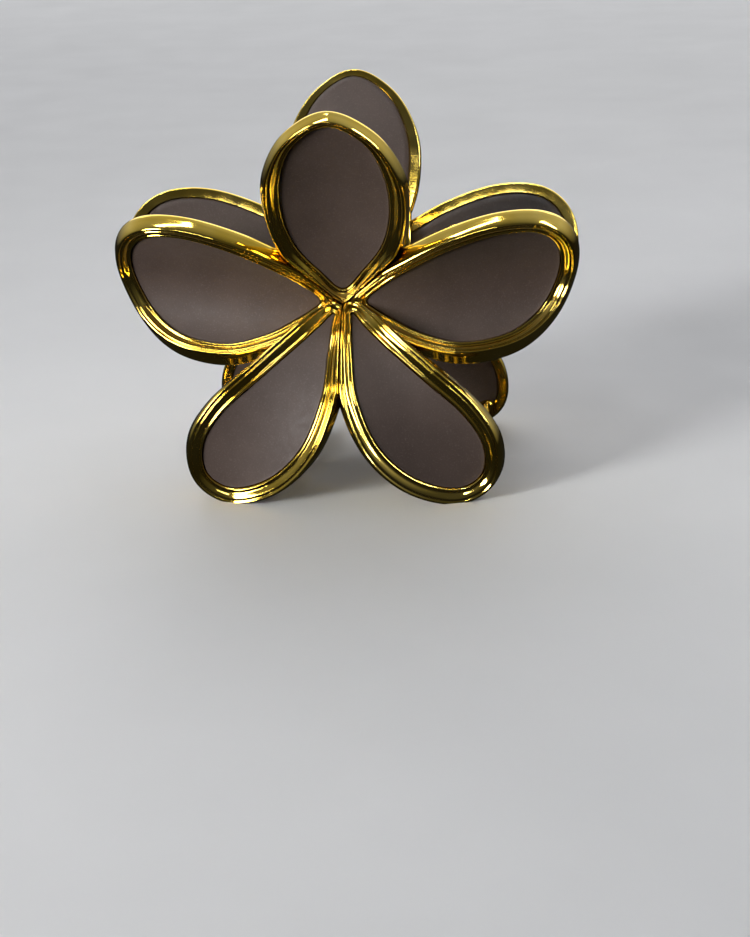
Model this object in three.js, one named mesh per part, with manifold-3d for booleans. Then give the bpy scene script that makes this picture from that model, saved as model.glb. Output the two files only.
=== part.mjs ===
// A flower claw clip: two five-petal half flowers, back to back, on a sprung hinge.
// Millimetres, +Z up, the front half faces -Y, and the clip stands on z = 0.
import * as THREE from "three";
import { mergeVertices } from "three/addons/utils/BufferGeometryUtils.js";
import Module from "manifold-3d";

const wasm = await Module();
wasm.setup();

// ---------- driving dimensions ----------
const HUB_Z = 32.9; // height of the flower's centre
const HUB_FORWARD = 8; // from the mid-plane to the flower's centre
const UPPER_LEAN = THREE.MathUtils.degToRad(22.8); // the upper petals lean outwards
const FOLD_START = 6; // below this the upper petals curl to upright
const FOLD_RATE = THREE.MathUtils.degToRad(4); // curl for each millimetre
const UPPER_SWEEP = 7.8e-5; // side petals sweep back with the cube of x
const LOWER_START = THREE.MathUtils.degToRad(68); // the lower petals leave the hub this steeply
const LOWER_CREST = 30; // distance along a lower petal to where it hangs straight down
const LOWER_SWEEP = 0.0058; // lower petals sweep back with the square of x
const PANEL_STEP = 1.25; // the panel's front stands this far proud of its flange
const PANEL_BACK = 2; // from the panel's front edge to its back
const PANEL_BACK_DISH = 0.6;
const FLANGE = 1.4; // the panel reaches this far behind the rim, which holds it
const FLANGE_INSET = 0.6; // a flange stays this far inside its petal's sector
const PETAL_DISH = 1.4; // depth of the hollow in each petal panel
const PANEL_GAP = 0.25;
const PANEL_STEPS = 28;
const POCKET_OPENING = 4;
const POCKET_BACK = 0.5; // a pocket is cut this far past the panel's back
const TIP_FROM = 22; // the top petal's rim slims from here to its tip
const TIP_TO = 35.6;
const TIP_WIDTH = 0.65;
const TIP_DEPTH = 0.6;
const RIM_STEPS = 30;
const SECTOR_OVERLAP = 0.25; // neighbouring rims run into each other by this
const HUB_CLEARANCE = 0.6; // no rim point comes nearer the hub's centre than this
const HUB_RADIUS = 4;
const HUB_HALF_DEPTH = 2;
const HUB_SINK = 0.4; // how far the hub's middle lies behind the petals' surface
const HINGE_Z = 36;
const PIN_RADIUS = 0.8;
const BORE_RADIUS = 1.15;
const EAR_RADIUS = 3.2;
const EAR_WIDTH = 2.3;
const EAR_INNER = 5.9; // inner face of the inner ear
const EAR_OUTER = 8.5; // inner face of the outer ear
const PIN_HALF_LENGTH = 11.2;
const PIN_HEAD_RADIUS = 1.7;
const PIN_HEAD_THICKNESS = 0.6;
const EAR_REACH = 6; // from the axis to where an ear is rooted in the hinge plate
const EAR_RAKE = 1.4; // an ear's root follows the plate's lean by this much
const PLATE_WIDTH = 21.6;
const PLATE_THICKNESS = 2.8;
const PLATE_HEIGHT = 13;
const PLATE_MIDDLE = 5.5; // up from the hub
const PLATE_DEPTH = 3.1; // behind the petals' surface
const LEG_TOP = 10.5; // up from the hub
const LEG_GAP = 0.35; // between a spring leg and the hinge plate it leans on
const LEG_RISE = 1; // a leg leaves the coil this much above the hinge axis
const WIRE_RADIUS = 0.5;
const COIL_RADIUS = 2.3;
const COIL_TURNS = 6.5;
const COIL_HALF_LENGTH = 4.2;
const TINE_PITCH = 4;
const TINES = 4;
const FIRST_TINE = { right: 9.4, left: 11.4 }; // half a pitch apart, so that the two halves mesh
const TINE_REACH = 1.8; // how far a tine's tip passes the mid-plane
const TINE_ROOT_RADIUS = 1.1;
const TINE_TIP_RADIUS = 0.6;
const TINE_LOW = 0.2;
const TINE_TIP_Z = 3.6;
const COMB_ALONG = 37.3; // the comb strip's place along the lower petal, at its middle
const COMB_RISE = 3.8; // its ends sit this much higher
const COMB_MIDDLE = 18; // the strip is lowest at this distance from the centre line
const COMB_HALF_SPREAD = 9;
const COMB_DEPTH = 3.9; // behind the petals' surface
const COMB_RADIUS = 1.1;
const COMB_END = 1.2; // the strip runs this far past its outer tines
const COMB_POINTS = 7;
const TINE_BOW = 9; // a tine's curve is drawn out to this distance from the mid-plane
const FLOOR_BLOCK = { side: 120, depth: 20 }; // cuts the flats that the clip stands on

// Petal outlines on the unrolled surface: [across, along] from the hub, half of each petal pair.
const TOP_OUTLINE = [[0, 2.9], [3.9, 6.8], [7.4, 12], [9, 18.5], [8.6, 25.5], [5.8, 32], [0, 35.6],
  [-5.8, 32], [-8.6, 25.5], [-9, 18.5], [-7.4, 12], [-3.9, 6.8]];
const SIDE_OUTLINE = [[4.1, 0.6], [5.6, -0.9], [8.4, -2.6], [13.8, -5.3], [21, -7], [29, -5.6],
  [34.4, -1.5], [37.2, 4.6], [36.9, 10.2], [33.4, 13.2], [26.6, 13.1], [18.4, 10.2], [11, 6], [6.6, 3]];
const LOWER_OUTLINE = [[1.6, -3.4], [1.8, -7], [2.2, -12.5], [3.1, -19.6], [6.6, -28], [12.6, -34.2],
  [19.6, -36.9], [24, -34.4], [24.2, -28.8], [20.6, -23], [14.2, -17], [7.6, -10.6], [3.8, -6.3]];
const LOWER_SKIRT = 5.5; // near the hub the lower rims reach this much further back
const SKIRT_LENGTH = 27; // and that fades out at this distance from the hub
const SKIRT_SPREAD = 30; // and over this many degrees from the side petals' rims
const SECTORS = { top: [46, 134], side: [-36, 44], lower: [-90, -37] }; // degrees either side of a petal

// Rim cross-section: [out from the panel's edge, towards the front].
const RIM_SECTION = [[0.3, -2.2], [0.3, 0.4], [0.8, 0.45], [1.6, 1.4], [2.5, 1.2], [3.4, -0.8], [3.0, -2.2]];
const SKIRT_FROM = 2; // the section's outer foot, which the skirt lowers, starts this far out

const PETALS = ["top", "right", "left", "lower_right", "lower_left"];

const gold = { color: 0xcfa23a, metalness: 1, roughness: 0.15 };
const taupe = { color: 0x5c4c4b, metalness: 0, roughness: 0.6 };
const steel = { color: 0xb9bcc0, metalness: 1, roughness: 0.3 };

// ---------- surfaces that the petals lie on ----------
// Each takes a place on the unrolled flower and a height above it, and gives a point of the front half.
function onUpper(across, along, height) {
  const below = Math.max(0, FOLD_START - along);
  const lean = UPPER_LEAN - FOLD_RATE * below;
  const straight = Math.max(along, FOLD_START);
  const curlForward = (Math.cos(lean) - Math.cos(UPPER_LEAN)) / FOLD_RATE;
  const curlUp = (Math.sin(UPPER_LEAN) - Math.sin(lean)) / FOLD_RATE;
  const forward = HUB_FORWARD + straight * Math.sin(UPPER_LEAN) - curlForward
    - UPPER_SWEEP * Math.abs(across) ** 3;
  const up = HUB_Z + straight * Math.cos(UPPER_LEAN) - curlUp;
  return new THREE.Vector3(across, -forward - height * Math.cos(lean), up - height * Math.sin(lean));
}

function onLower(across, along, height) {
  const dive = LOWER_START * (1 + along / LOWER_CREST);
  const radius = LOWER_CREST / LOWER_START;
  const forward = HUB_FORWARD + radius * (Math.cos(dive) - Math.cos(LOWER_START))
    - LOWER_SWEEP * across * across;
  const up = HUB_Z - radius * (Math.sin(LOWER_START) - Math.sin(dive));
  return new THREE.Vector3(across, -forward - height * Math.cos(dive), up + height * Math.sin(dive));
}

// ---------- solids ----------
function toSolid(geometry) {
  const bare = geometry.clone();
  bare.deleteAttribute("normal");
  bare.deleteAttribute("uv");
  const merged = mergeVertices(bare, 1e-4);
  return new wasm.Manifold(new wasm.Mesh({
    numProp: 3,
    vertProperties: merged.attributes.position.array,
    triVerts: new Uint32Array(merged.index.array),
  }));
}

function toGeometry(solid) {
  const mesh = solid.getMesh();
  const geometry = new THREE.BufferGeometry();
  geometry.setAttribute("position", new THREE.BufferAttribute(mesh.vertProperties, 3));
  geometry.setIndex(new THREE.BufferAttribute(mesh.triVerts, 1));
  return geometry;
}

const joined = (solids) => solids.reduce((whole, piece) => whole.add(piece));

// Moves each vertex of a turned ring or disc: turn is the fraction of a turn, out its radius, height its y.
function reshape(geometry, place) {
  const position = geometry.attributes.position;
  for (let i = 0; i < position.count; i++) {
    const x = position.getX(i);
    const z = position.getZ(i);
    const turn = (Math.atan2(x, z) / (2 * Math.PI) + 1) % 1;
    const point = place(turn, Math.hypot(x, z), position.getY(i));
    position.setXYZ(i, point.x, point.y, point.z);
  }
  return geometry;
}

// ---------- one petal ----------
function petal(name) {
  const lower = name.startsWith("lower");
  const side = name === "left" || name === "right";
  const points = side ? SIDE_OUTLINE : lower ? LOWER_OUTLINE : TOP_OUTLINE;
  const mirror = name.endsWith("left") ? -1 : 1;
  const sector = SECTORS[side ? "side" : lower ? "lower" : "top"];
  // The curve runs anticlockwise seen from the front, so the mirrored petal takes its points backwards.
  const places = points.map(([across, along]) => new THREE.Vector3(mirror * across, along, 0));
  if (mirror < 0) places.reverse();
  const curve = new THREE.CatmullRomCurve3(places, true, "catmullrom", 0.5);
  const middle = places.reduce((sum, p) => sum.add(p), new THREE.Vector3()).divideScalar(places.length);
  const slim = (along) => (name === "top" ? THREE.MathUtils.smoothstep(along, TIP_FROM, TIP_TO) : 0);
  const surface = (across, along, height) => (lower ? onLower : onUpper)(
    across, along, height < 0 ? height * THREE.MathUtils.lerp(1, TIP_DEPTH, slim(along)) : height);
  return { curve, middle, mirror, sector, lower, slim, surface };
}

// A point out from the panel's edge, kept in the petal's own sector of the flower. Past is how far
// it may cross the sector's sides.
function rimPlace({ curve, mirror, sector, slim }, turn, out, past = SECTOR_OVERLAP) {
  const point = curve.getPointAt(turn % 1);
  const ahead = curve.getTangentAt(turn % 1);
  const slimmed = out * THREE.MathUtils.lerp(1, TIP_WIDTH, slim(point.y));
  const across = mirror * (point.x + slimmed * ahead.y);
  const along = point.y - slimmed * ahead.x;
  const reach = Math.max(Math.hypot(across, along), HUB_CLEARANCE);
  const slack = Math.asin(THREE.MathUtils.clamp(past / reach, -0.5, 1));
  const [low, high] = sector.map(THREE.MathUtils.degToRad);
  const angle = THREE.MathUtils.clamp(Math.atan2(along, across), low - slack, high + slack);
  return [mirror * reach * Math.cos(angle), reach * Math.sin(angle)];
}

// The wall that closes the step between a lower rim and the side petal above it.
function skirt({ mirror, sector, lower }, across, along) {
  if (!lower) return 0;
  const turned = sector[1] - THREE.MathUtils.radToDeg(Math.atan2(along, mirror * across));
  const near = Math.max(0, 1 - Math.hypot(across, along) / SKIRT_LENGTH);
  return LOWER_SKIRT * Math.sqrt(near) * THREE.MathUtils.clamp(1 - turned / SKIRT_SPREAD, 0, 1);
}

function rim(name) {
  const shape = petal(name);
  const ring = 100; // any radius well above the section's size: the ring is reshaped
  const section = [...RIM_SECTION, RIM_SECTION[0]].reverse();
  const profile = section.map(([out, height]) => new THREE.Vector2(ring + out, height));
  return reshape(new THREE.LatheGeometry(profile, RIM_STEPS), (turn, radius, height) => {
    const [across, along] = rimPlace(shape, turn, radius - ring);
    const deeper = radius - ring > SKIRT_FROM && height < 0 ? skirt(shape, across, along) : 0;
    return shape.surface(across, along, height - deeper);
  });
}

// A dished panel with a flange behind the rim. With a gap it is the pocket that the panel sits in.
function panel(name, gap = 0) {
  const shape = petal(name);
  const { curve, middle, surface } = shape;
  const hollow = (part, depth) => -depth * (1 - part * part) ** 2;
  const open = gap > 0 ? POCKET_OPENING : 0;
  const behind = PANEL_BACK + (gap > 0 ? POCKET_BACK : 0);
  const front = [1, 0.7, 0.35, 0].map((part) => [part, hollow(part, PETAL_DISH) + open]);
  const flange = [[1 + FLANGE, -behind], [1 + FLANGE, gap - PANEL_STEP], [1, gap - PANEL_STEP]];
  const back = [0, 0.6].map((part) => [part, hollow(part, PANEL_BACK_DISH) - behind]);
  const profile = [...back, ...flange, ...front].map(([part, height]) => new THREE.Vector2(part, height));
  // Up to 1 the profile runs from the middle to the edge, and past 1 it is millimetres beyond the edge.
  return reshape(new THREE.LatheGeometry(profile, PANEL_STEPS), (turn, part, height) => {
    if (part > 1.001) {
      const [across, along] = rimPlace(shape, turn, part - 1 + gap, gap - FLANGE_INSET);
      return surface(across, along, height);
    }
    const point = curve.getPointAt(turn);
    const ahead = curve.getTangentAt(turn);
    const across = point.x - middle.x + gap * ahead.y;
    const along = point.y - middle.y - gap * ahead.x;
    return surface(middle.x + part * across, middle.y + part * along, height);
  });
}

// ---------- hub and hinge ----------
function hub() {
  const boss = new THREE.SphereGeometry(1, 14, 8).scale(HUB_RADIUS, HUB_HALF_DEPTH, HUB_RADIUS);
  boss.translate(0, -HUB_FORWARD + HUB_SINK, HUB_Z);
  return toSolid(boss);
}

// The plate behind the hub carries the ears, and the spring presses on it.
function hingePlate() {
  const plate = new THREE.BoxGeometry(PLATE_WIDTH, PLATE_THICKNESS, PLATE_HEIGHT);
  plate.rotateX(UPPER_LEAN);
  const at = onUpper(0, PLATE_MIDDLE, -PLATE_DEPTH);
  plate.translate(at.x, at.y, at.z);
  return toSolid(plate);
}

function ear(inner) {
  const outline = new THREE.Shape();
  outline.absarc(0, 0, EAR_RADIUS, -Math.PI / 2, Math.PI / 2, false);
  outline.lineTo(-EAR_REACH, EAR_RADIUS);
  outline.lineTo(-EAR_REACH + EAR_RAKE, -EAR_RADIUS);
  const bore = new THREE.Path();
  bore.absarc(0, 0, BORE_RADIUS, 0, 2 * Math.PI, true);
  outline.holes.push(bore);
  const plate = new THREE.ExtrudeGeometry(outline, {
    depth: EAR_WIDTH, bevelEnabled: false, curveSegments: 8 });
  plate.applyMatrix4(new THREE.Matrix4().makeBasis(
    new THREE.Vector3(0, 1, 0), new THREE.Vector3(0, 0, 1), new THREE.Vector3(1, 0, 0)));
  plate.translate(inner, 0, HINGE_Z);
  return toSolid(plate);
}

// One half's gold moulding: five rims, the hub, the hinge plate and two ears, with flats to stand on.
function frame() {
  const floor = new THREE.BoxGeometry(FLOOR_BLOCK.side, FLOOR_BLOCK.side, FLOOR_BLOCK.depth);
  floor.translate(0, 0, -FLOOR_BLOCK.depth / 2);
  const ears = [EAR_INNER, -EAR_OUTER - EAR_WIDTH].map(ear);
  const rims = PETALS.map((name) => toSolid(rim(name)));
  const pockets = PETALS.map((name) => toSolid(panel(name, PANEL_GAP)));
  return toGeometry([toSolid(floor), ...pockets].reduce(
    (body, cutter) => body.subtract(cutter), joined([hub(), hingePlate(), ...rims, ...ears])));
}

// ---------- combs ----------
// A rod of changing thickness along a curve that stays in a plane of constant x.
function taperedRod(curve, startRadius, endRadius, steps) {
  const rod = new THREE.CylinderGeometry(endRadius, startRadius, 1, 6, steps);
  const position = rod.attributes.position;
  const side = new THREE.Vector3(1, 0, 0);
  for (let i = 0; i < position.count; i++) {
    const part = position.getY(i) + 0.5;
    const along = curve.getTangentAt(part);
    const point = curve.getPointAt(part);
    point.addScaledVector(side, position.getX(i));
    point.addScaledVector(new THREE.Vector3().crossVectors(side, along), position.getZ(i));
    position.setXYZ(i, point.x, point.y, point.z);
  }
  return toSolid(rod);
}

function comb(hand) {
  const mirror = hand === "left" ? -1 : 1;
  const root = (across) => {
    const reach = (across - COMB_MIDDLE) / COMB_HALF_SPREAD;
    return onLower(mirror * across, -COMB_ALONG + COMB_RISE * reach * reach, -COMB_DEPTH);
  };
  const first = FIRST_TINE[hand];
  const length = (TINES - 1) * TINE_PITCH + 2 * COMB_END;
  const spine = [];
  for (let i = 0; i < COMB_POINTS; i++) {
    spine.push(root(first - COMB_END + (length * i) / (COMB_POINTS - 1)));
  }
  const bar = new THREE.Shape();
  bar.absarc(0, 0, COMB_RADIUS, 0, 2 * Math.PI, false);
  const strip = new THREE.ExtrudeGeometry(bar, {
    extrudePath: new THREE.CatmullRomCurve3(spine), steps: 6, curveSegments: 3, bevelEnabled: false });
  const pieces = [toSolid(strip)];
  for (let i = 0; i < TINES; i++) {
    const start = root(first + i * TINE_PITCH);
    const bend = new THREE.Vector3(start.x, -TINE_BOW, TINE_LOW);
    const tip = new THREE.Vector3(start.x, TINE_REACH, TINE_TIP_Z);
    const path = new THREE.QuadraticBezierCurve3(start, bend, tip);
    pieces.push(taperedRod(path, TINE_ROOT_RADIUS, TINE_TIP_RADIUS, 5));
  }
  return toGeometry(joined(pieces));
}

// ---------- pin and spring ----------
function pin() {
  const end = PIN_HALF_LENGTH;
  const profile = [[0, -end - PIN_HEAD_THICKNESS], [PIN_HEAD_RADIUS, -end - PIN_HEAD_THICKNESS],
    [PIN_HEAD_RADIUS, -end], [PIN_RADIUS, -end], [PIN_RADIUS, end], [PIN_HEAD_RADIUS, end],
    [PIN_HEAD_RADIUS, end + PIN_HEAD_THICKNESS], [0, end + PIN_HEAD_THICKNESS]];
  const shaft = new THREE.LatheGeometry(profile.map(([r, y]) => new THREE.Vector2(r, y)), 12);
  shaft.rotateZ(-Math.PI / 2);
  shaft.translate(0, 0, HINGE_Z);
  return shaft;
}

function wire(path, steps) {
  const round = new THREE.Shape();
  round.absarc(0, 0, WIRE_RADIUS, 0, 2 * Math.PI, false);
  return new THREE.ExtrudeGeometry(round, {
    extrudePath: path, steps, curveSegments: 3, bevelEnabled: false });
}

function springCoil() {
  const points = [];
  const stepsPerTurn = 10;
  const steps = COIL_TURNS * stepsPerTurn;
  for (let i = 0; i <= steps; i++) {
    const angle = Math.PI + (2 * Math.PI * i) / stepsPerTurn;
    points.push(new THREE.Vector3(COIL_HALF_LENGTH * ((2 * i) / steps - 1),
      COIL_RADIUS * Math.cos(angle), HINGE_Z + COIL_RADIUS * Math.sin(angle)));
  }
  return wire(new THREE.CatmullRomCurve3(points), steps);
}

// A leg leaves the coil beside the pin and leans on its half's hinge plate.
function springLeg() {
  const x = -COIL_HALF_LENGTH;
  const end = onUpper(x, LEG_TOP, -PLATE_DEPTH - PLATE_THICKNESS / 2 - WIRE_RADIUS - LEG_GAP);
  const start = new THREE.Vector3(x, -COIL_RADIUS, HINGE_Z + LEG_RISE);
  return wire(new THREE.LineCurve3(start, end), 2);
}

// ---------- the clip ----------
const clip = new THREE.Group();
const halves = { front: new THREE.Group(), rear: new THREE.Group() };
halves.rear.rotation.z = Math.PI;
clip.add(halves.front, halves.rear);

function add(group, name, geometry, look) {
  const mesh = new THREE.Mesh(geometry, new THREE.MeshStandardMaterial(look));
  mesh.name = name;
  group.add(mesh);
}

const oneFrame = frame();
for (const [half, group] of Object.entries(halves)) {
  add(group, half + "_frame", oneFrame, gold);
  for (const name of PETALS) add(group, half + "_petal_" + name, panel(name), taupe);
  for (const hand of ["left", "right"]) add(group, half + "_comb_" + hand, comb(hand), gold);
  add(group, "spring_leg_" + half, springLeg(), steel);
}
add(clip, "spring_coil", springCoil(), steel);
add(clip, "hinge_pin", pin(), steel);
export default clip;
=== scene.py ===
"""A flower claw clip: two gold flower halves with matte petals, on a sprung hinge.

The shapes are worked out in millimetres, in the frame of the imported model, and scaled to metres
when a mesh is made. The front half faces -Y; the rear half is the front one turned about +Z.
"""

import math

import bmesh
import bpy
from mathutils import Matrix, Vector


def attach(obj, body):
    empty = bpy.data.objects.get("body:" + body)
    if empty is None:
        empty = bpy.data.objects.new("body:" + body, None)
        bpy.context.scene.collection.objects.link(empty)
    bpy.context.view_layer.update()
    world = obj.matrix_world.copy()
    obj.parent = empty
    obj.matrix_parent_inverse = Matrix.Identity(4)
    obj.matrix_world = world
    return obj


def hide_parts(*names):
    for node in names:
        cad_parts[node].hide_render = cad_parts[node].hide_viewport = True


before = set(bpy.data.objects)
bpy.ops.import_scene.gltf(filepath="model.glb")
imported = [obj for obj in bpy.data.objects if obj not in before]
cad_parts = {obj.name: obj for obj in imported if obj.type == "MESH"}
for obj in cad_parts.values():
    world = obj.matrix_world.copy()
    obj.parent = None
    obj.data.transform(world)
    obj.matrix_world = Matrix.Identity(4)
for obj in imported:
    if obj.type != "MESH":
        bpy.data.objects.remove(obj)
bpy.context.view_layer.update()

MM = 0.001

# ---------- driving dimensions, in millimetres ----------
# The hub is where the five petals meet. The upper three lie on a leaning plane that curls near the
# hub, and the lower two on an arch that dives to the floor. Both sweep back towards the sides.
HUB_Z = 32.9
HUB_FORWARD = 8
UPPER_LEAN = math.radians(22.8)
FOLD_START = 6
FOLD_RATE = math.radians(4)
UPPER_SWEEP = 7.8e-5
LOWER_START = math.radians(68)
LOWER_CREST = 30
LOWER_SWEEP = 0.0058

# Each petal keeps to its sector of the flower. A lower rim has a skirt beside the side petal above
# it, which fades out over SKIRT_SPREAD degrees, and the top petal's rim is slimmer at the tip.
SECTOR_OVERLAP = 0.25
LEAST_REACH = 0.6
LEAST_SLACK = -0.5
FREE_ROOM = 9
LOWER_SKIRT = 5.5
SKIRT_LENGTH = 27
SKIRT_SPREAD = 30
SKIRT_FROM = 2
SKIRT_FLARE = 0.35
TIP_FROM = 22
TIP_TO = 35.6
TIP_WIDTH = 0.65
TIP_DEPTH = 0.6

# A panel has a step back at its edge, and a flange there that reaches behind the rim. Its pocket in
# the rim is a seam wider.
PETAL_DISH = 1.4
PANEL_STEP = 1.25
PANEL_BACK = 2
PANEL_BACK_DISH = 0.6
FLANGE = 1.4
FLANGE_INSET = 0.6
EDGE_ROUNDING = 0.15
FLANGE_ROUNDING = 0.25
SEAM = 0.12
POCKET_OPENING = 4
POCKET_BACK = 0.5
POCKET_CAP = 0.2

HINGE_Z = 36
PIN_RADIUS = 0.8
BORE_RADIUS = 1.15

# Panel outlines on the unrolled flower: across and along from the hub. Sectors are in degrees.
TOP_OUTLINE = [(0, 2.9), (3.9, 6.8), (7.4, 12), (9, 18.5), (8.6, 25.5), (5.8, 32), (0, 35.6),
               (-5.8, 32), (-8.6, 25.5), (-9, 18.5), (-7.4, 12), (-3.9, 6.8)]
SIDE_OUTLINE = [(4.1, 0.6), (5.6, -0.9), (8.4, -2.6), (13.8, -5.3), (21, -7), (29, -5.6),
                (34.4, -1.5), (37.2, 4.6), (36.9, 10.2), (33.4, 13.2), (26.6, 13.1), (18.4, 10.2),
                (11, 6), (6.6, 3)]
LOWER_OUTLINE = [(1.6, -3.4), (1.8, -7), (2.2, -12.5), (3.1, -19.6), (6.6, -28), (12.6, -34.2),
                 (19.6, -36.9), (24, -34.4), (24.2, -28.8), (20.6, -23), (14.2, -17), (7.6, -10.6),
                 (3.8, -6.3)]
SECTORS = {"top": (46, 134), "side": (-36, 44), "lower": (-90, -37)}
PETALS = ["top", "right", "left", "lower_right", "lower_left"]

# Rim cross-section: out from the panel's edge, and towards the front. It has an inner lip, a
# sloping face, a fine groove, a rounded crest, the outer slope and the flat back.
RIM_SECTION = [(0.12, -2.2), (0.12, 0.1), (0.22, 0.38), (0.48, 0.46), (0.66, 0.34),
               (0.9, 0.42), (1.25, 0.8), (1.6, 1.12), (1.8, 1.18), (1.94, 1.08), (2.08, 1.16),
               (2.3, 1.4), (2.55, 1.38), (2.8, 1.05), (3.05, 0.45), (3.25, -0.3), (3.4, -1.0),
               (3.36, -1.7), (3.15, -2.08), (2.85, -2.2), (1.5, -2.2)]
STRAIGHT_AFTER = {0, 1, 19}  # the points in that list after which the section runs straight
LIP_END = 0.66
CREST_END = 2.85
LEAST_SQUEEZE = 0.3

# Each tine is a rod that narrows from the comb's strip to its tip.
TINE_PITCH = 4
TINES = 4
FIRST_TINE = {"right": 9.4, "left": 11.4}
TINE_REACH = 1.8
TINE_ROOT_RADIUS = 1.1
TINE_TIP_RADIUS = 0.6
TINE_LOW = 0.2
TINE_TIP_Z = 3.6
TINE_BOW = 9
COMB_ALONG = 37.3
COMB_RISE = 3.8
COMB_MIDDLE = 18
COMB_HALF_SPREAD = 9
COMB_DEPTH = 3.9
COMB_RADIUS = 1.1
COMB_END = 1.2

EAR_RADIUS = 3.2
EAR_WIDTH = 2.3
EAR_INNER = 5.9
EAR_OUTER = 8.5
EAR_REACH = 6
EAR_RAKE = 1.4
EAR_ROUNDING = 0.25
PLATE = (21.6, 2.8, 13)
PLATE_MIDDLE = 5.5
PLATE_DEPTH = 3.1
PLATE_ROUNDING = 0.5
HUB_RADIUS = 4
HUB_HALF_DEPTH = 2
HUB_SINK = 0.4
HUB_LOBES = 5
HUB_LOBE_DEPTH = 0.12

PIN_HALF_LENGTH = 11.2
PIN_HEAD_RADIUS = 1.7
PIN_HEAD_THICKNESS = 0.6
PIN_ROUNDING = 0.15
WIRE_RADIUS = 0.5
COIL_RADIUS = 2.3
COIL_TURNS = 6.5
COIL_HALF_LENGTH = 4.2
LEG_TOP = 10.5
LEG_GAP = 0.35
LEG_RISE = 1

# How finely the meshes are divided, and the angles in degrees past which an edge stays sharp. A
# rounded end stops END_SHORT of a step before its tip, so that its last ring isn't a point.
CURVE_STEPS = 32
RIM_SAMPLES = 200
RIM_ROUNDING = 3
PANEL_SAMPLES = 160
PANEL_RINGS = 22
BACK_RINGS = 12
EDGE_STEPS = 4
ARC_STEPS = 32
HUB_RINGS = 16
HUB_SIDES = 60
SPINE_STEPS = 24
TINE_STEPS = 20
ROD_SIDES = 16
WIRE_SIDES = 14
TURNED_SIDES = 40
COIL_STEPS = 28
LEG_STEPS = 12
END_STEPS = 5
END_SHORT = 0.3
PLAIN_ANGLE = 35
JOINED_ANGLE = 40
PANEL_ANGLE = 50
ROD_ANGLE = 60

# Cutters reach past what they cut by CUT_PAST, and the floor block reaches past the whole clip.
CUT_PAST = 1
BLOCK_REACH = 60
BLOCK_DEPTH = 30


# ---------- surfaces that the petals lie on ----------
def on_upper(across, along, height):
    """A place on the upper petals: across and along from the hub, and a height towards the front."""
    below = max(0, FOLD_START - along)
    lean = UPPER_LEAN - FOLD_RATE * below
    straight = max(along, FOLD_START)
    curl_forward = (math.cos(lean) - math.cos(UPPER_LEAN)) / FOLD_RATE
    curl_up = (math.sin(UPPER_LEAN) - math.sin(lean)) / FOLD_RATE
    forward = HUB_FORWARD + straight * math.sin(UPPER_LEAN) - curl_forward
    forward -= UPPER_SWEEP * abs(across) ** 3
    up = HUB_Z + straight * math.cos(UPPER_LEAN) - curl_up
    return Vector((across, -forward - height * math.cos(lean), up - height * math.sin(lean)))


def on_lower(across, along, height):
    """A place on the lower petals. Along is negative there, because they hang below the hub."""
    dive = LOWER_START * (1 + along / LOWER_CREST)
    radius = LOWER_CREST / LOWER_START
    forward = HUB_FORWARD + radius * (math.cos(dive) - math.cos(LOWER_START))
    forward -= LOWER_SWEEP * across * across
    up = HUB_Z - radius * (math.sin(LOWER_START) - math.sin(dive))
    return Vector((across, -forward - height * math.cos(dive), up + height * math.sin(dive)))


# ---------- curves ----------
def hermite(a, b, slope_a, slope_b, t):
    """A point between a and b on the cubic that has the two slopes at its ends."""
    return (a * (2 * t ** 3 - 3 * t ** 2 + 1) + slope_a * (t ** 3 - 2 * t ** 2 + t)
            + b * (3 * t ** 2 - 2 * t ** 3) + slope_b * (t ** 3 - t ** 2))


def closed_curve(points, count):
    """Places and directions at equal steps along a smooth closed curve through the points."""
    n = len(points)
    fine = []
    for i in range(n):
        before, a, b, after = (points[(i + k) % n] for k in (-1, 0, 1, 2))
        for step in range(CURVE_STEPS):
            fine.append(hermite(a, b, (b - before) / 2, (after - a) / 2, step / CURVE_STEPS))
    lengths = [0]
    for i in range(len(fine)):
        lengths.append(lengths[-1] + (fine[(i + 1) % len(fine)] - fine[i]).length)
    places, i = [], 0
    for k in range(count):
        target = lengths[-1] * k / count
        while lengths[i + 1] < target:
            i += 1
        part = (target - lengths[i]) / (lengths[i + 1] - lengths[i])
        places.append(fine[i].lerp(fine[(i + 1) % len(fine)], part))
    aheads = [(places[(k + 1) % count] - places[k - 1]).normalized() for k in range(count)]
    return places, aheads


# ---------- meshes ----------
def shade_smooth(mesh, angle):
    """Smooth shading, except across edges sharper than the angle."""
    mesh.polygons.foreach_set("use_smooth", [True] * len(mesh.polygons))
    mesh.set_sharp_from_angle(angle=math.radians(angle))


def new_object(name, data):
    obj = bpy.data.objects.new(name, data)
    bpy.context.scene.collection.objects.link(obj)
    return obj


def loft(sections, closed=False):
    """Points and faces of a tube through sections with equal counts of points, capped unless closed."""
    size = len(sections[0])
    points = [p for section in sections for p in section]
    faces = []
    last = len(sections) if closed else len(sections) - 1
    for i in range(last):
        a, b = i * size, (i + 1) % len(sections) * size
        for j in range(size):
            k = (j + 1) % size
            faces.append((a + j, a + k, b + k, b + j))
    if not closed:
        faces.append(tuple(reversed(range(size))))
        faces.append(tuple(range(len(points) - size, len(points))))
    return points, faces


def solid(name, sections, closed=False, angle=PLAIN_ANGLE):
    """An object in metres from a loft in millimetres, with all its faces turned to face out."""
    points, faces = loft(sections, closed)
    mesh = bpy.data.meshes.new(name)
    mesh.from_pydata([p * MM for p in points], [], faces)
    shade_smooth(mesh, angle)
    editable = bmesh.new()
    editable.from_mesh(mesh)
    bmesh.ops.recalc_face_normals(editable, faces=editable.faces)
    editable.to_mesh(mesh)
    editable.free()
    return new_object(name, mesh)


def apply_modifiers(obj):
    depsgraph = bpy.context.evaluated_depsgraph_get()
    done = bpy.data.meshes.new_from_object(obj.evaluated_get(depsgraph))
    obj.modifiers.clear()
    obj.data = done
    return obj


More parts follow.
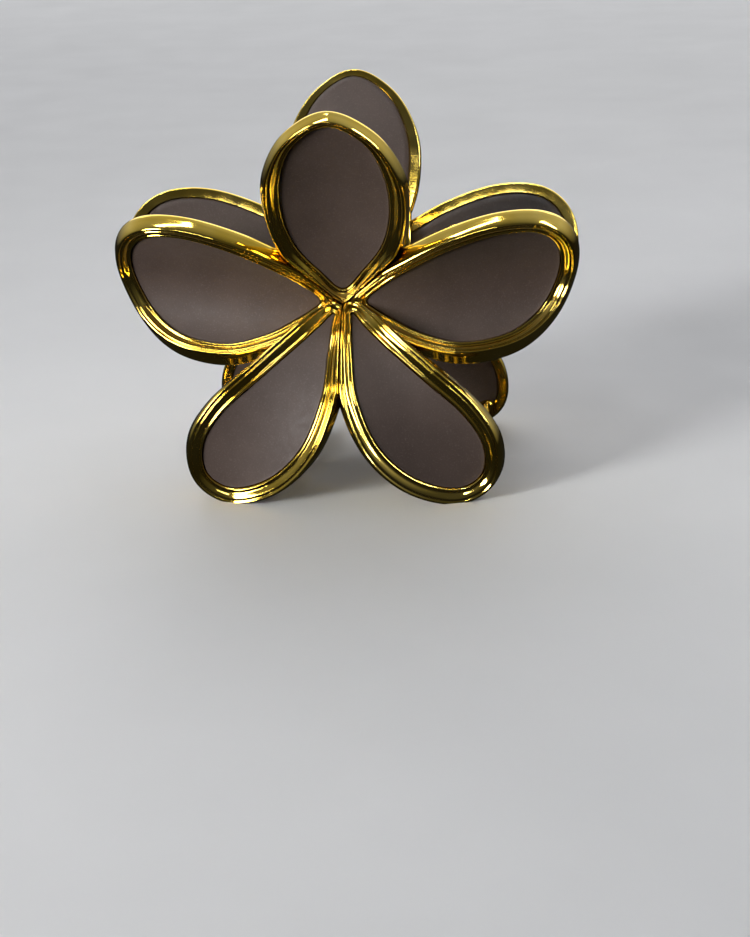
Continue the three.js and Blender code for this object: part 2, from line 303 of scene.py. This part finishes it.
def combine(base, others, operation="UNION"):
    """Joins the other solids to the base, or cuts them from it, and removes them."""
    for other in others:
        cut = base.modifiers.new(operation, "BOOLEAN")
        cut.operation = operation
        cut.solver = "MANIFOLD"
        cut.object = other
        apply_modifiers(base)
        bpy.data.objects.remove(other)
    return base


def rounded(obj, width, segments=3):
    bevel = obj.modifiers.new("rounded", "BEVEL")
    bevel.width = width * MM
    bevel.segments = segments
    bevel.limit_method = "ANGLE"
    bevel.angle_limit = math.radians(PLAIN_ANGLE)
    return apply_modifiers(obj)


# ---------- one petal ----------
class Petal:
    """The outline of one panel on the unrolled flower, and the sector that its rim keeps to."""

    def __init__(self, name, samples=RIM_SAMPLES):
        lower = name.startswith("lower")
        side = name in ("left", "right")
        outline = SIDE_OUTLINE if side else LOWER_OUTLINE if lower else TOP_OUTLINE
        self.lower = lower
        self.mirror = -1 if name.endswith("left") else 1
        self.slims = name == "top"
        low, high = SECTORS["side" if side else "lower" if lower else "top"]
        self.low, self.high = math.radians(low), math.radians(high)
        points = [Vector((self.mirror * across, along)) for across, along in outline]
        if self.mirror < 0:
            points.reverse()
        self.places, self.aheads = closed_curve(points, samples)
        self.middle = sum(points, Vector((0, 0))) / len(points)
        axis = self.middle.normalized()
        sides = [axis.cross(place) for place in self.places]
        self.half_width = (max(sides) - min(sides)) / 2

    def outward(self, k):
        return Vector((self.aheads[k].y, -self.aheads[k].x))

    def room(self, k):
        """How far the rim can reach from the panel's edge before it meets its neighbour."""
        place, out = self.places[k], self.outward(k)
        reach = FREE_ROOM
        for angle in (self.low, self.high):
            side = Vector((self.mirror * math.cos(angle), math.sin(angle)))
            across = out.cross(side)
            if abs(across) > 1e-6:
                distance = -place.cross(side) / across
                if distance > 0 and (place + out * distance).dot(side) > 0:
                    reach = min(reach, distance)
        return reach

    def slim(self, along):
        """0 on most petals, rising to 1 at the tip of a top one."""
        part = min(max((along - TIP_FROM) / (TIP_TO - TIP_FROM), 0), 1)
        return part * part * (3 - 2 * part) if self.slims else 0

    def beyond(self, k, out):
        """A point out from the panel's edge. A slim tip brings it closer."""
        narrowed = 1 - (1 - TIP_WIDTH) * self.slim(self.places[k].y)
        return self.places[k] + self.outward(k) * out * narrowed

    def surface(self, point, height):
        """The point's place on the clip, at a height towards the front. A slim tip is less deep."""
        if height < 0:
            height *= 1 - (1 - TIP_DEPTH) * self.slim(point.y)
        return (on_lower if self.lower else on_upper)(point.x, point.y, height)

    def kept_in(self, point, past=SECTOR_OVERLAP):
        """The point moved round the hub into the petal's own sector, or a little past its sides."""
        reach = max(point.length, LEAST_REACH)
        slack = math.asin(min(max(past / reach, LEAST_SLACK), 1))
        angle = math.atan2(point.y, self.mirror * point.x)
        angle = min(max(angle, self.low - slack), self.high + slack)
        return Vector((self.mirror * reach * math.cos(angle), reach * math.sin(angle)))

    def hollow(self, point):
        """0 at the panel's edge, rising to 1 in its middle, from how far away the two sides are."""
        axis = self.middle.normalized()
        left, right = 0, 0
        for a, b in zip(self.places, self.places[1:] + self.places[:1]):
            along_a, along_b = (a - point).dot(axis), (b - point).dot(axis)
            if (along_a < 0) != (along_b < 0):
                place = a.lerp(b, along_a / (along_a - along_b)) - point
                across = axis.cross(place)
                left, right = min(left, across), max(right, across)
        return min(-left * right / self.half_width ** 2, 1)

    def skirt(self, point):
        """How much deeper a lower rim reaches beside the side petal above it."""
        if not self.lower:
            return 0
        turned = math.degrees(self.high - math.atan2(point.y, self.mirror * point.x))
        near = max(0, 1 - point.length / SKIRT_LENGTH)
        return LOWER_SKIRT * math.sqrt(near) * min(max(1 - turned / SKIRT_SPREAD, 0), 1)


def rim_section():
    """The cross-section as a smooth curve through its points, except where it runs straight."""
    points = [Vector(p) for p in RIM_SECTION]
    n = len(points)
    smooth = []
    for i in range(n):
        before, a, b, after = (points[(i + k) % n] for k in (-1, 0, 1, 2))
        steps = 1 if i in STRAIGHT_AFTER else RIM_ROUNDING
        for step in range(steps):
            smooth.append(hermite(a, b, (b - before) / 2, (after - a) / 2, step / steps))
    return smooth


def rim(name):
    """A petal's rim. Between its lip and its crest it's squeezed where a neighbour leaves less room."""
    petal = Petal(name)
    section = rim_section()
    rings = []
    for k in range(RIM_SAMPLES):
        squeeze = (petal.room(k) - LIP_END) / (CREST_END - LIP_END)
        squeeze = min(max(squeeze, LEAST_SQUEEZE), 1)
        ring = []
        for out, height in section:
            reach = out
            if out > LIP_END:
                face = (min(out, CREST_END) - LIP_END) * squeeze
                reach = LIP_END + face + max(0, out - CREST_END)
            point = petal.kept_in(petal.beyond(k, reach))
            deeper = petal.skirt(point) if out > SKIRT_FROM and height < 0 else 0
            point = petal.kept_in(petal.beyond(k, reach + SKIRT_FLARE * deeper))
            ring.append(petal.surface(point, height - deeper))
        rings.append(ring)
    return solid(name, rings, closed=True)


# ---------- hub, hinge plate and ears ----------
def hub():
    """A low knot with a lobe towards each petal."""
    rings = []
    for i in range(1, HUB_RINGS):
        tilt = math.pi * i / HUB_RINGS
        ring = []
        for j in range(HUB_SIDES):
            turn = 2 * math.pi * j / HUB_SIDES
            lobe = math.cos(HUB_LOBES * (turn - math.pi / 2))
            out = 1 + HUB_LOBE_DEPTH * lobe * math.sin(tilt)
            ring.append(Vector((HUB_RADIUS * out * math.sin(tilt) * math.cos(turn),
                                -HUB_FORWARD + HUB_SINK - HUB_HALF_DEPTH * math.cos(tilt),
                                HUB_Z + HUB_RADIUS * out * math.sin(tilt) * math.sin(turn))))
        rings.append(ring)
    return solid("hub", rings)


def hinge_plate():
    """The leaning plate behind the upper petals, which carries the ears."""
    width, thickness, height = PLATE
    corners = [(-width / 2, -height / 2), (width / 2, -height / 2),
               (width / 2, height / 2), (-width / 2, height / 2)]
    middle = on_upper(0, PLATE_MIDDLE, -PLATE_DEPTH)
    turn = Matrix.Rotation(UPPER_LEAN, 3, "X")
    sides = [[middle + turn @ Vector((x, y, z)) for x, z in corners]
             for y in (-thickness / 2, thickness / 2)]
    return rounded(solid("plate", sides), PLATE_ROUNDING)


def prism(name, outline, low, high):
    """A solid between two planes of constant x, from an outline of y and z."""
    sides = [[Vector((x, y, z)) for y, z in outline] for x in (low, high)]
    return solid(name, sides)


def arc(radius, start, end):
    """Points of y and z round the hinge axis."""
    turns = [start + (end - start) * i / ARC_STEPS for i in range(ARC_STEPS + 1)]
    return [(radius * math.cos(t), HINGE_Z + radius * math.sin(t)) for t in turns]


def ear(low):
    """One hinge ear from x = low, with its bore."""
    outline = arc(EAR_RADIUS, -math.pi / 2, math.pi / 2)
    outline += [(-EAR_REACH, HINGE_Z + EAR_RADIUS), (-EAR_REACH + EAR_RAKE, HINGE_Z - EAR_RADIUS)]
    plate = rounded(prism("ear", outline, low, low + EAR_WIDTH), EAR_ROUNDING, segments=2)
    circle = arc(BORE_RADIUS, 0, 2 * math.pi)[:-1]
    bore = prism("bore", circle, low - CUT_PAST, low + EAR_WIDTH + CUT_PAST)
    return combine(plate, [bore], "DIFFERENCE")


def moulding():
    """One half's gold piece: rims, hub, hinge plate and ears, cut flat at the floor, with pockets."""
    whole = rim(PETALS[0])
    others = [rim(name) for name in PETALS[1:]] + [hub(), hinge_plate()]
    others += [ear(EAR_INNER), ear(-EAR_OUTER - EAR_WIDTH)]
    combine(whole, others)
    below = [(-BLOCK_REACH, -BLOCK_DEPTH), (BLOCK_REACH, -BLOCK_DEPTH),
             (BLOCK_REACH, 0), (-BLOCK_REACH, 0)]
    floor_block = prism("floor_block", below, -BLOCK_REACH, BLOCK_REACH)
    combine(whole, [floor_block] + [pocket(name) for name in PETALS], "DIFFERENCE")
    shade_smooth(whole.data, JOINED_ANGLE)
    return whole


# ---------- panels ----------
def panel(name):
    """A dished panel with a softly rounded edge, and a flange that reaches behind the rim."""
    petal = Petal(name, PANEL_SAMPLES)
    spots = range(PANEL_SAMPLES)

    def inside(part, height, inset=0, dish=0):
        """A ring that is part of the way from the middle to the edge."""
        edge = [petal.places[k] - petal.outward(k) * inset for k in spots]
        points = [petal.middle.lerp(place, part) for place in edge]
        return [petal.surface(point, height - dish * petal.hollow(point)) for point in points]

    def flange(out, height):
        """A ring behind the rim, kept clear of the neighbours' flanges."""
        points = [petal.kept_in(petal.beyond(k, out), -FLANGE_INSET) for k in spots]
        return [petal.surface(point, height) for point in points]

    rings = [inside(i / PANEL_RINGS, 0, EDGE_ROUNDING, PETAL_DISH)
             for i in range(1, PANEL_RINGS + 1)]
    for i in range(1, EDGE_STEPS + 1):
        turn = math.pi / 2 * i / EDGE_STEPS
        fall = EDGE_ROUNDING * (math.cos(turn) - 1)
        rings.append(inside(1, fall, EDGE_ROUNDING * (1 - math.sin(turn))))
    rings += [inside(1, -PANEL_STEP), flange(FLANGE, -PANEL_STEP),
              flange(FLANGE, FLANGE_ROUNDING - PANEL_BACK),
              flange(FLANGE - FLANGE_ROUNDING, -PANEL_BACK)]
    rings += [inside(i / BACK_RINGS, -PANEL_BACK, 0, PANEL_BACK_DISH)
              for i in range(BACK_RINGS, 0, -1)]
    return solid(name, rings, angle=PANEL_ANGLE)


def pocket(name):
    """The space that the panel sits in, a seam wider than the panel all round."""
    petal = Petal(name, PANEL_SAMPLES)
    spots = range(PANEL_SAMPLES)
    near = [petal.places[k] + petal.outward(k) * SEAM for k in spots]
    far = [petal.kept_in(petal.beyond(k, FLANGE + SEAM), SEAM - FLANGE_INSET) for k in spots]
    cap = [petal.middle.lerp(point, POCKET_CAP) for point in near]
    step = SEAM - PANEL_STEP
    behind = -PANEL_BACK - POCKET_BACK
    levels = [(cap, POCKET_OPENING), (near, POCKET_OPENING), (near, step),
              (far, step), (far, behind), (cap, behind - PANEL_BACK_DISH)]
    rings = [[petal.surface(point, height) for point in points] for points, height in levels]
    return solid(name, rings)


# ---------- combs ----------
NEARLY_ALONG = 0.9


def tube(name, places, radii, sides=ROD_SIDES):
    """A round rod along the places, with a radius for each. Its ends are flat."""
    rings = []
    across = Vector((1, 0, 0))
    count = len(places)
    for i, place in enumerate(places):
        ahead = (places[min(i + 1, count - 1)] - places[max(i - 1, 0)]).normalized()
        if abs(ahead.dot(across)) > NEARLY_ALONG:
            across = Vector((0, 0, 1))
        side = (across - ahead * across.dot(ahead)).normalized()
        up = ahead.cross(side)
        ring = []
        for j in range(sides):
            turn = 2 * math.pi * j / sides
            ring.append(place + (side * math.cos(turn) + up * math.sin(turn)) * radii[i])
        rings.append(ring)
        across = side
    return solid(name, rings, angle=ROD_ANGLE)


def with_round_ends(places, radii):
    """Adds places beyond both ends, where the radius falls along a quarter circle to almost nothing."""
    before, after = [], []
    first = (places[0] - places[1]).normalized()
    last = (places[-1] - places[-2]).normalized()
    for i in range(1, END_STEPS + 1):
        turn = math.pi / 2 * i / (END_STEPS + END_SHORT)
        before.insert(0, (places[0] + first * radii[0] * math.sin(turn), radii[0] * math.cos(turn)))
        after.append((places[-1] + last * radii[-1] * math.sin(turn), radii[-1] * math.cos(turn)))
    whole = before + list(zip(places, radii)) + after
    return [p for p, r in whole], [r for p, r in whole]


def comb(hand):
    """A strip behind a lower petal's rim, with curved tines that reach towards the other half."""
    mirror = -1 if hand == "left" else 1

    def root(across):
        reach = (across - COMB_MIDDLE) / COMB_HALF_SPREAD
        return on_lower(mirror * across, -COMB_ALONG + COMB_RISE * reach * reach, -COMB_DEPTH)

    first = FIRST_TINE[hand]
    length = (TINES - 1) * TINE_PITCH
    spine = [root(first - COMB_END / 2 + (length + COMB_END) * i / SPINE_STEPS)
             for i in range(SPINE_STEPS + 1)]
    strip = tube("comb_" + hand, *with_round_ends(spine, [COMB_RADIUS] * len(spine)))
    tines = []
    for i in range(TINES):
        start = root(first + i * TINE_PITCH)
        bend = Vector((start.x, -TINE_BOW, TINE_LOW))
        tip = Vector((start.x, TINE_REACH - TINE_TIP_RADIUS, TINE_TIP_Z))
        places, radii = [], []
        for step in range(TINE_STEPS + 1):
            t = step / TINE_STEPS
            places.append(start * (1 - t) ** 2 + bend * (2 * t * (1 - t)) + tip * t ** 2)
            radii.append(TINE_ROOT_RADIUS + (TINE_TIP_RADIUS - TINE_ROOT_RADIUS) * step / TINE_STEPS)
        tines.append(tube("tine", *with_round_ends(places, radii)))
    combine(strip, tines)
    shade_smooth(strip.data, JOINED_ANGLE)
    return strip


# ---------- pin and spring ----------
def turned(name, profile):
    """A solid turned about the hinge axis, from a profile of x and radius."""
    rings = []
    for x, radius in profile:
        ring = []
        for j in range(TURNED_SIDES):
            turn = 2 * math.pi * j / TURNED_SIDES
            ring.append(Vector((x, radius * math.cos(turn), HINGE_Z + radius * math.sin(turn))))
        rings.append(ring)
    return solid(name, rings)


def pin():
    """The hinge pin, with a softly rounded head on both ends."""
    end, soft = PIN_HALF_LENGTH, PIN_ROUNDING
    head = [(end + PIN_HEAD_THICKNESS, PIN_HEAD_RADIUS - 3 * soft),
            (end + PIN_HEAD_THICKNESS - soft / 3, PIN_HEAD_RADIUS - soft),
            (end + PIN_HEAD_THICKNESS - soft, PIN_HEAD_RADIUS), (end + soft, PIN_HEAD_RADIUS),
            (end, PIN_HEAD_RADIUS - soft), (end, PIN_RADIUS)]
    return turned("pin", [(-x, r) for x, r in head] + list(reversed(head)))


def coil():
    """The spring's coil, round the pin between the two pairs of ears."""
    places = []
    steps = int(COIL_TURNS * COIL_STEPS)
    for i in range(steps + 1):
        angle = math.pi + 2 * math.pi * COIL_TURNS * i / steps
        places.append(Vector((COIL_HALF_LENGTH * (2 * i / steps - 1), COIL_RADIUS * math.cos(angle),
                              HINGE_Z + COIL_RADIUS * math.sin(angle))))
    return tube("coil", places, [WIRE_RADIUS] * len(places), WIRE_SIDES)


def leg():
    """The front leg: a straight wire from the coil to just behind the hinge plate."""
    x = -COIL_HALF_LENGTH
    end = on_upper(x, LEG_TOP, -PLATE_DEPTH - PLATE[1] / 2 - WIRE_RADIUS - LEG_GAP)
    start = Vector((x, -COIL_RADIUS, HINGE_Z + LEG_RISE))
    places = [start.lerp(end, i / LEG_STEPS) for i in range(LEG_STEPS + 1)]
    return tube("leg", places, [WIRE_RADIUS] * len(places), WIRE_SIDES)


# ---------- materials ----------
GOLD_LIGHT = (0.93, 0.69, 0.16)
GOLD_DEEP = (0.80, 0.545, 0.07)
# The deep brown that is painted into grooves and recesses as shade.
GOLD_PAINTED_SHADE = (0.42, 0.26, 0.02)
TAUPE_DARK = (0.072, 0.049, 0.040)
TAUPE_LIGHT = (0.089, 0.062, 0.051)
TAUPE_SPECK = (0.128, 0.097, 0.084)
WIRE_LIGHT = (0.66, 0.65, 0.64)
WIRE_DARK = (0.45, 0.44, 0.43)
PIN_LIGHT = (0.70, 0.69, 0.66)
PIN_DARK = (0.52, 0.50, 0.47)
FLOOR_LIGHT = (0.76, 0.76, 0.755)
FLOOR_DARK = (0.72, 0.72, 0.715)
GROOVE_SHADE_SAMPLES = 8

# A mix node has sockets of several kinds under the same names. These numbers pick the colour ones.
MIX_FACTOR, MIX_A, MIX_B, MIX_RESULT = 0, 6, 7, 2


def map_range(tree, value, low, high, low_out, high_out):
    """The value, with low to high spread over low_out to high_out."""
    node = tree.nodes.new("ShaderNodeMapRange")
    limits = {"From Min": low, "From Max": high, "To Min": low_out, "To Max": high_out}
    for name, number in limits.items():
        node.inputs[name].default_value = number
    tree.links.new(value, node.inputs["Value"])
    return node.outputs["Result"]


class Nodes:
    """A material's node tree, with short calls for the nodes that it uses."""

    def __init__(self, name):
        self.material = bpy.data.materials.new(name)
        self.material.use_nodes = True
        self.tree = self.material.node_tree
        self.shader = self.tree.nodes["Principled BSDF"]
        self.place = self.tree.nodes.new("ShaderNodeTexCoord").outputs["Object"]

    def set(self, **values):
        for name, value in values.items():
            self.shader.inputs[name.replace("_", " ")].default_value = value

    def noise(self, size_mm, detail=4, stretch=(1, 1, 1)):
        """Noise whose features are about size_mm across."""
        mapping = self.tree.nodes.new("ShaderNodeMapping")
        mapping.inputs["Scale"].default_value = stretch
        texture = self.tree.nodes.new("ShaderNodeTexNoise")
        texture.inputs["Scale"].default_value = 1 / (size_mm * MM)
        texture.inputs["Detail"].default_value = detail
        self.tree.links.new(self.place, mapping.inputs["Vector"])
        self.tree.links.new(mapping.outputs["Vector"], texture.inputs["Vector"])
        return texture.outputs["Fac"]

    def spread(self, value, low, high, low_out=0.0, high_out=1.0):
        return map_range(self.tree, value, low, high, low_out, high_out)

    def mix(self, factor, a, b):
        """Colour a where the factor is 0, and b where it is 1."""
        node = self.tree.nodes.new("ShaderNodeMix")
        node.data_type = "RGBA"
        for value, socket in ((a, node.inputs[MIX_A]), (b, node.inputs[MIX_B])):
            if isinstance(value, tuple):
                socket.default_value = (*value, 1)
            else:
                self.tree.links.new(value, socket)
        self.tree.links.new(factor, node.inputs[MIX_FACTOR])
        return node.outputs[MIX_RESULT]

    def painted_groove_shade(self, reach_mm):
        """A mask for painted shade: 1 in the open, falling to 0 deep in a groove."""
        node = self.tree.nodes.new("ShaderNodeAmbientOcclusion")
        node.inputs["Distance"].default_value = reach_mm * MM
        node.samples = GROOVE_SHADE_SAMPLES
        return node.outputs["AO"]

    def bump(self, height, strength, distance_mm, before=None):
        node = self.tree.nodes.new("ShaderNodeBump")
        node.inputs["Strength"].default_value = strength
        node.inputs["Distance"].default_value = distance_mm * MM
        self.tree.links.new(height, node.inputs["Height"])
        if before:
            self.tree.links.new(before, node.inputs["Normal"])
        return node.outputs["Normal"]

    def use(self, socket, value):
        self.tree.links.new(value, self.shader.inputs[socket])


def gold_plate():
    """Polished gold plate: deeper in patches, with painted shade in the grooves and a faint orange
    peel.
    """
    m = Nodes("gold_plate")
    m.set(Metallic=1.0)
    tone = m.mix(m.spread(m.noise(9, 2), 0.35, 0.65), GOLD_DEEP, GOLD_LIGHT)
    # Painted shade: the gold darkens to a deep brown where ambient occlusion finds a groove.
    m.use("Base Color", m.mix(m.spread(m.painted_groove_shade(1.4), 0.25, 0.8), GOLD_PAINTED_SHADE, tone))
    m.use("Roughness", m.spread(m.noise(2.5, 5), 0.3, 0.7, 0.06, 0.14))
    peel = m.bump(m.noise(1.6, 2), 0.25, 0.05)
    m.use("Normal", m.bump(m.noise(0.35, 3), 0.12, 0.02, peel))
    return m.material


def petal_matte():
    """A matte taupe coating: cloudy, with fine pale specks and a fine grain."""
    m = Nodes("petal_matte")
    m.set(Specular_IOR_Level=0.35, Sheen_Weight=0.12, Sheen_Roughness=0.4)
    cloudy = m.mix(m.spread(m.noise(7, 3), 0.3, 0.7), TAUPE_DARK, TAUPE_LIGHT)
    m.use("Base Color", m.mix(m.spread(m.noise(0.25, 2), 0.55, 0.85), cloudy, TAUPE_SPECK))
    m.use("Roughness", m.spread(m.noise(1.2, 5), 0.3, 0.7, 0.5, 0.64))
    m.use("Normal", m.bump(m.noise(0.12, 3), 0.2, 0.03))
    return m.material


def steel(name, light, dark, stretch, rough):
    """Steel with a fine grain, drawn out into streaks by the stretch, and a little dull in patches."""
    m = Nodes(name)
    m.set(Metallic=1.0)
    streaks = m.noise(0.25, 3, stretch)
    m.use("Base Color", m.mix(m.spread(streaks, 0.3, 0.7), dark, light))
    m.use("Roughness", m.spread(m.noise(0.8, 4), 0.3, 0.7, rough, rough + 0.15))
    m.use("Normal", m.bump(streaks, 0.06, 0.01))
    return m.material


gold = gold_plate()
taupe = petal_matte()
wire_steel = steel("spring_steel", WIRE_LIGHT, WIRE_DARK, stretch=(1, 1, 1), rough=0.2)
pin_metal = steel("pin_steel", PIN_LIGHT, PIN_DARK, stretch=(0.1, 1, 1), rough=0.22)


# ---------- the clip ----------
def place(obj, name, body, material, slot, nodes, half_turn=False):
    """Names a piece, turns it to the rear if asked, and puts it on its body in place of its nodes."""
    obj.name = obj.data.name = name
    if half_turn:
        obj.data.transform(Matrix.Rotation(math.pi, 4, "Z"))
    obj.data.materials.clear()
    obj.data.materials.append(material)
    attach(obj, body)
    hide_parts(*nodes)


def place_both(obj, name, material, slot, node):
    """Places a piece on the front half and a turned copy on the rear half. In node, END is the half."""
    rear = new_object(obj.name, obj.data.copy())
    for piece, end in ((obj, "front"), (rear, "rear")):
        place(piece, end + "_" + name, end + "_half", material, slot, [node.replace("END", end)],
              half_turn=end == "rear")


place_both(moulding(), "gold_moulding", gold, "gold_plate", "END_frame")
for petal in PETALS:
    place_both(panel(petal), "panel_" + petal, taupe, "petal_matte", "END_petal_" + petal)
for hand in ("left", "right"):
    place_both(comb(hand), "tines_" + hand, gold, "gold_plate", "END_comb_" + hand)
place_both(leg(), "leg_wire", wire_steel, "spring_steel", "spring_leg_END")
place(coil(), "coil_wire", "front_half", wire_steel, "spring_steel", ["spring_coil"])
place(pin(), "headed_pin", "front_half", pin_metal, "pin_steel", ["hinge_pin"])


# ---------- floor, light and camera ----------
# The floor and the lights are in metres. The room's brightness rises over a stretch of direction,
# from down to up and from front to back: where the stretch starts and ends, and how bright it is.
FLOOR_REACH = 12
CLIP_MIDDLE = (0, 0, 0.035)
ROOM_COLOUR = (0.92, 0.94, 1, 1)
ROOM_UPWARDS = (-0.15, 0.35, 0, 1)
ROOM_BACKWARDS = (-0.6, 0.6, 0.04, 0.6)
ROOM_LEAST = 0.015

# The camera's angles are in degrees, and the rest of it is in millimetres.
CAMERA_AZIMUTH = 6
CAMERA_ELEVATION = 21.7
CAMERA_ROLL = -2.2
CAMERA_LENS = 65.3
SENSOR_WIDTH = 36
CAMERA_DISTANCE = 317
CAMERA_TARGET = (3.4, 0, -2)


def floor():
    """A pale floor. It's hidden from reflections, and throws no light back on the clip."""
    mesh = bpy.data.meshes.new("floor")
    corners = [(-1, -1, 0), (1, -1, 0), (1, 1, 0), (-1, 1, 0)]
    mesh.from_pydata([Vector(corner) * FLOOR_REACH for corner in corners], [], [(0, 1, 2, 3)])
    obj = new_object("floor", mesh)
    m = Nodes("floor")
    m.use("Base Color", m.mix(m.spread(m.noise(60, 3), 0.3, 0.7), FLOOR_DARK, FLOOR_LIGHT))
    m.use("Roughness", m.spread(m.noise(20, 3), 0.3, 0.7, 0.55, 0.7))
    mesh.materials.append(m.material)
    obj.visible_glossy = obj.visible_diffuse = False


def softbox(name, at, size, power, towards=CLIP_MIDDLE, spread=180, sheen_only=False):
    """An area light. A sheen-only one is seen in the gold but doesn't light the matte pieces."""
    light = bpy.data.lights.new(name, "AREA")
    light.shape = "RECTANGLE"
    light.size, light.size_y = size
    light.energy = power
    light.spread = math.radians(spread)
    obj = new_object(name, light)
    obj.visible_diffuse = not sheen_only
    obj.location = at
    obj.rotation_euler = (Vector(towards) - Vector(at)).to_track_quat("-Z", "Y").to_euler()


def world_light():
    """A room that is pale above and behind, and dark below and in front."""
    world = bpy.data.worlds.new("studio")
    world.use_nodes = True
    tree = world.node_tree
    background = tree.nodes["Background"]
    background.inputs["Color"].default_value = ROOM_COLOUR
    way = tree.nodes.new("ShaderNodeTexCoord").outputs["Generated"]
    split = tree.nodes.new("ShaderNodeSeparateXYZ")
    tree.links.new(way, split.inputs["Vector"])
    above = map_range(tree, split.outputs["Z"], *ROOM_UPWARDS)
    behind = map_range(tree, split.outputs["Y"], *ROOM_BACKWARDS)
    product = tree.nodes.new("ShaderNodeMath")
    product.operation = "MULTIPLY_ADD"
    tree.links.new(above, product.inputs[0])
    tree.links.new(behind, product.inputs[1])
    product.inputs[2].default_value = ROOM_LEAST
    tree.links.new(product.outputs[0], background.inputs["Strength"])
    bpy.context.scene.world = world


def camera():
    """The camera looks down at the clip from in front and a little to the right."""
    azimuth, elevation = math.radians(CAMERA_AZIMUTH), math.radians(CAMERA_ELEVATION)
    data = bpy.data.cameras.new("camera")
    data.sensor_width = SENSOR_WIDTH
    data.lens = CAMERA_LENS
    data.clip_start, data.clip_end = 0.01, 20
    obj = new_object("camera", data)
    forward = Vector((-math.sin(azimuth) * math.cos(elevation),
                      math.cos(azimuth) * math.cos(elevation), -math.sin(elevation)))
    obj.location = (Vector(CAMERA_TARGET) - forward * CAMERA_DISTANCE) * MM
    roll = Matrix.Rotation(math.radians(CAMERA_ROLL), 3, "Z")
    turn = forward.to_track_quat("-Z", "Y").to_matrix() @ roll
    obj.rotation_euler = turn.to_euler()
    bpy.context.scene.camera = obj


floor()
world_light()
softbox("window_left", (-0.5, -0.44, 0.2), (0.2, 0.24), 0.62, spread=60)
softbox("wall_behind", (0.0, 1.7, 1.0), (2.8, 1.3), 16, towards=(0, 0.1, 0.05))
softbox("overhead", (-0.15, -0.06, 0.5), (0.05, 0.3), 1.5, sheen_only=True)
softbox("strip_right", (0.45, -0.05, 0.3), (0.04, 0.3), 1.2, sheen_only=True)
softbox("strip_front", (-0.1, -0.5, 0.35), (0.3, 0.03), 0.5, sheen_only=True)
camera()

bpy.context.scene.view_settings.view_transform = "Standard"
